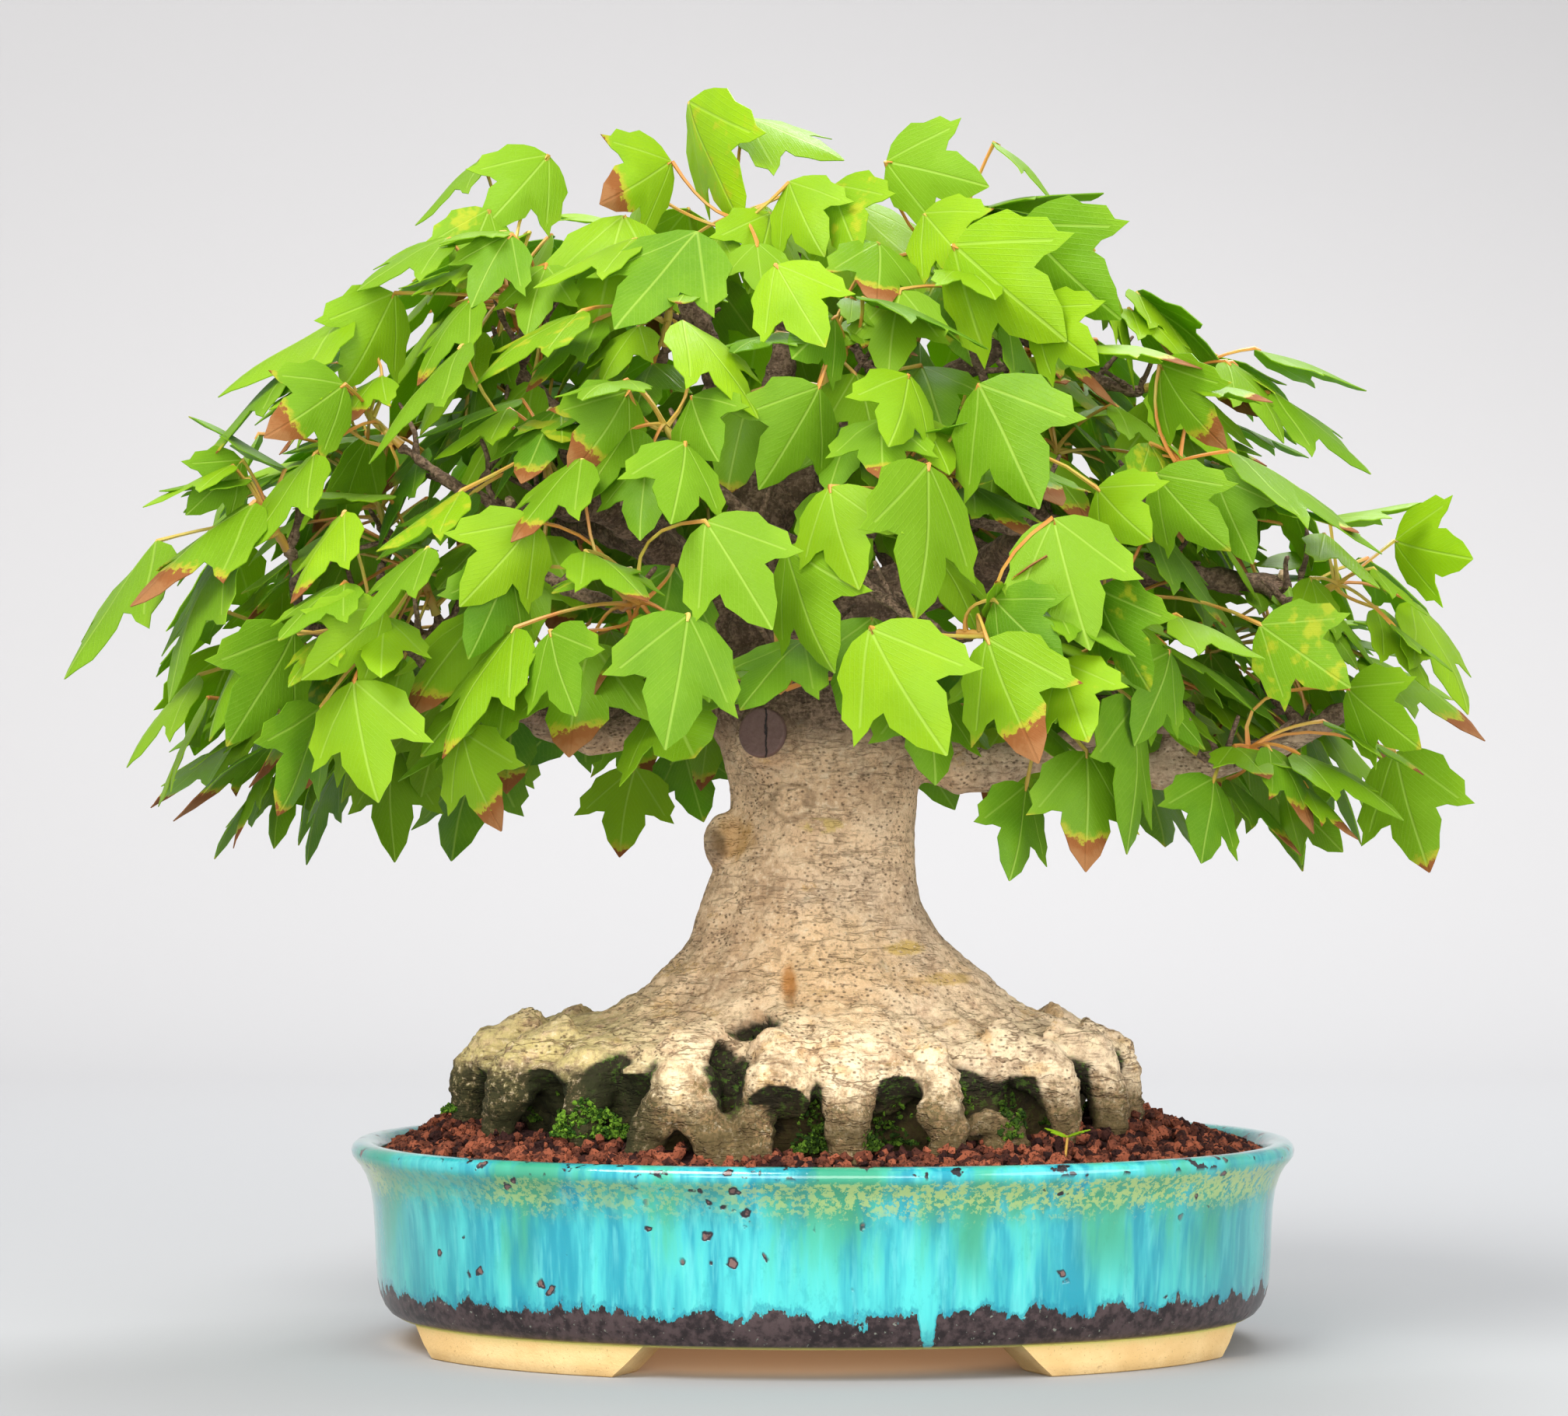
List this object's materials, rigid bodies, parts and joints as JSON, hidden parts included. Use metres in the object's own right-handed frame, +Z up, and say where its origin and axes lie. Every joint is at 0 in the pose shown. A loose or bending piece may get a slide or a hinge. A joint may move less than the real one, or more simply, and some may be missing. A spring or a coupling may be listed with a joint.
{
  "type": "bonsai tree in a pot",
  "caption": "Trident maple bonsai with a flared root base, a short trunk and a wide domed crown of three-lobed leaves, growing in a low oval glazed pot on four feet.",
  "frame": {"origin": "on the surface that the pot stands on, under the middle of the whole outline", "axes": "+Z up; +X along the pot's length, to the right as seen from the tree's front; -Y towards the front"},
  "size_m": [0.4086, 0.298, 0.3672],
  "materials": {
    "pot_glaze": "glossy turquoise glaze with darker runs, bare metallic brown at its lower edge, unglazed buff feet",
    "soil_grit": "matte dark red-brown lava grit",
    "bark": "matte grey-beige bark",
    "leaf": "satin bright green leaves with orange stalks",
    "moss": "soft dark green moss",
    "wound_paste": "matte purple-brown cut paste",
    "screen_plastic": "matte black plastic mesh"
  },
  "bodies": {
    "root": {"pot": "pot_glaze", "drain_screen_left": "screen_plastic", "drain_screen_right": "screen_plastic", "soil": "soil_grit", "moss_left": "moss", "moss_front_left": "moss", "moss_front": "moss", "moss_front_right": "moss", "moss_back": "moss", "trunk": "bark", "wound_paste": "wound_paste", "shoot_01": "leaf", "shoot_02": "leaf", "shoot_03": "leaf", "shoot_04": "leaf", "shoot_05": "leaf", "shoot_06": "leaf", "shoot_07": "leaf", "shoot_08": "leaf", "shoot_09": "leaf", "shoot_10": "leaf", "shoot_11": "leaf", "shoot_12": "leaf", "shoot_13": "leaf", "shoot_14": "leaf", "shoot_15": "leaf", "shoot_16": "leaf", "shoot_17": "leaf", "shoot_18": "leaf", "shoot_19": "leaf", "shoot_20": "leaf", "shoot_21": "leaf", "shoot_22": "leaf", "shoot_23": "leaf", "shoot_24": "leaf", "shoot_25": "leaf", "shoot_26": "leaf", "shoot_27": "leaf", "shoot_28": "leaf", "shoot_29": "leaf", "shoot_30": "leaf", "shoot_31": "leaf", "shoot_32": "leaf", "shoot_33": "leaf", "shoot_34": "leaf", "shoot_35": "leaf", "shoot_36": "leaf", "shoot_37": "leaf", "shoot_38": "leaf", "shoot_39": "leaf", "shoot_40": "leaf", "shoot_41": "leaf", "shoot_42": "leaf", "shoot_43": "leaf", "shoot_44": "leaf", "shoot_45": "leaf", "shoot_46": "leaf", "shoot_47": "leaf", "shoot_48": "leaf", "seedling": "leaf"}
  },
  "joints": []
}
